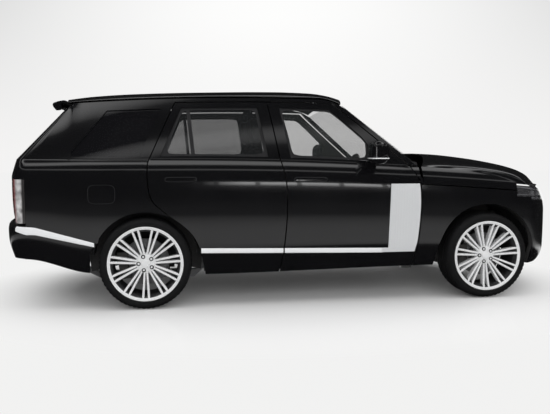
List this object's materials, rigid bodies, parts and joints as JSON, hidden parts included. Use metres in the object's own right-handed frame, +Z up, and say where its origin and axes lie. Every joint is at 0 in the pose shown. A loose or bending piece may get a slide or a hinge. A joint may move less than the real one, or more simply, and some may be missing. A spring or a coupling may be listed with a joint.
{
  "type": "five-door suv",
  "caption": "Large five-door estate-bodied off-road car with hinged doors, bonnet and split tailgate, steered front wheels and turning road wheels.",
  "frame": {"origin": "on the ground, under the middle of the outline box", "axes": "+X to the nose, +Y to the left side, +Z up"},
  "size_m": [5, 2.38, 1.814],
  "materials": {
    "black_paint": "gloss black paint",
    "dark_trim": "satin dark plastic",
    "silver": "satin silver",
    "clear_glass": "light tint",
    "dark_glass": "dark tint",
    "lamp": "clear lens over dark bowl",
    "red_lamp": "dark red lens",
    "grille_black": "gloss black bars",
    "steel": "bare steel",
    "iron": "dark cast metal",
    "alloy": "bright machined metal",
    "tyre": "black rubber",
    "leather": "dark leather"
  },
  "bodies": {
    "body": {"floor_pan": "steel", "side_frame_right": "black_paint", "side_frame_left": "black_paint", "rear_quarter_right": "black_paint", "rear_quarter_left": "black_paint", "roof_panel": "black_paint", "front_wings": "black_paint", "front_bumper": "black_paint", "grille": "grille_black", "headlamps": "lamp", "rear_bumper": "black_paint", "tail_lamps": "red_lamp", "windscreen": "clear_glass", "quarter_glasses": "dark_glass", "wheel_liners": "dark_trim", "scuttle": "dark_trim", "front_axle": "iron", "rear_axle": "iron", "engine_block": "iron", "exhaust": "steel", "dashboard": "dark_trim", "steering_wheel": "dark_trim", "front_seats": "leather", "rear_bench": "leather"},
    "bonnet": {"bonnet": "black_paint"},
    "tailgate_upper": {"tailgate_upper": "black_paint", "tailgate_glass": "dark_glass"},
    "tailgate_lower": {"tailgate_lower": "black_paint"},
    "steer_right": {"knuckle_right": "iron"},
    "steer_left": {"knuckle_left": "iron"},
    "door_front_right": {"door_front_right": "black_paint", "glass_front_right": "clear_glass", "blade_right": "silver", "mirror_right": "black_paint"},
    "door_rear_right": {"door_rear_right": "black_paint", "glass_rear_right": "dark_glass"},
    "wheel_front_right": {"wheel_front_right": "alloy", "tyre_front_right": "tyre"},
    "wheel_rear_right": {"wheel_rear_right": "alloy", "tyre_rear_right": "tyre"},
    "door_front_left": {"door_front_left": "black_paint", "glass_front_left": "clear_glass", "blade_left": "silver", "mirror_left": "black_paint"},
    "door_rear_left": {"door_rear_left": "black_paint", "glass_rear_left": "dark_glass"},
    "wheel_front_left": {"wheel_front_left": "alloy", "tyre_front_left": "tyre"},
    "wheel_rear_left": {"wheel_rear_left": "alloy", "tyre_rear_left": "tyre"}
  },
  "joints": [
    {"name": "front_door_right", "type": "hinge", "parent": "body", "child": "door_front_right", "pos_m": [0.921, -0.96357, 0.7], "axis": [0, 0, 1], "range_deg": [0, 68]},
    {"name": "rear_door_right", "type": "hinge", "parent": "body", "child": "door_rear_right", "pos_m": [-0.238, -0.96841, 0.7], "axis": [0, 0, 1], "range_deg": [0, 70]},
    {"name": "front_door_left", "type": "hinge", "parent": "body", "child": "door_front_left", "pos_m": [0.921, 0.96357, 0.7], "axis": [0, 0, -1], "range_deg": [0, 68]},
    {"name": "rear_door_left", "type": "hinge", "parent": "body", "child": "door_rear_left", "pos_m": [-0.238, 0.96841, 0.7], "axis": [0, 0, -1], "range_deg": [0, 70]},
    {"name": "bonnet_lid", "type": "hinge", "parent": "body", "child": "bonnet", "pos_m": [1.037, 0, 1.112], "axis": [0, -1, 0], "range_deg": [0, 50]},
    {"name": "tailgate_lid", "type": "hinge", "parent": "body", "child": "tailgate_upper", "pos_m": [-1.977, 0, 1.71308], "axis": [0, 1, 0], "range_deg": [0, 80]},
    {"name": "tailgate_flap", "type": "hinge", "parent": "body", "child": "tailgate_lower", "pos_m": [-2.47, 0, 0.722], "axis": [0, -1, 0], "range_deg": [0, 90]},
    {"name": "steer_r", "type": "hinge", "parent": "body", "child": "steer_right", "pos_m": [1.61, -0.76, 0.372], "axis": [0, 0, 1], "range_deg": [-35, 35]},
    {"name": "steer_l", "type": "hinge", "parent": "body", "child": "steer_left", "pos_m": [1.61, 0.76, 0.372], "axis": [0, 0, 1], "range_deg": [-35, 35]},
    {"name": "front_wheel_right", "type": "hinge", "parent": "steer_right", "child": "wheel_front_right", "pos_m": [1.61, -0.845, 0.372], "axis": [0, 1, 0], "continuous": true},
    {"name": "rear_wheel_right", "type": "hinge", "parent": "body", "child": "wheel_rear_right", "pos_m": [-1.312, -0.845, 0.372], "axis": [0, 1, 0], "continuous": true},
    {"name": "front_wheel_left", "type": "hinge", "parent": "steer_left", "child": "wheel_front_left", "pos_m": [1.61, 0.845, 0.372], "axis": [0, 1, 0], "continuous": true},
    {"name": "rear_wheel_left", "type": "hinge", "parent": "body", "child": "wheel_rear_left", "pos_m": [-1.312, 0.845, 0.372], "axis": [0, 1, 0], "continuous": true}
  ],
  "couplings": [
    {"joint": "steer_l", "follows": "steer_r", "ratio": 1}
  ]
}
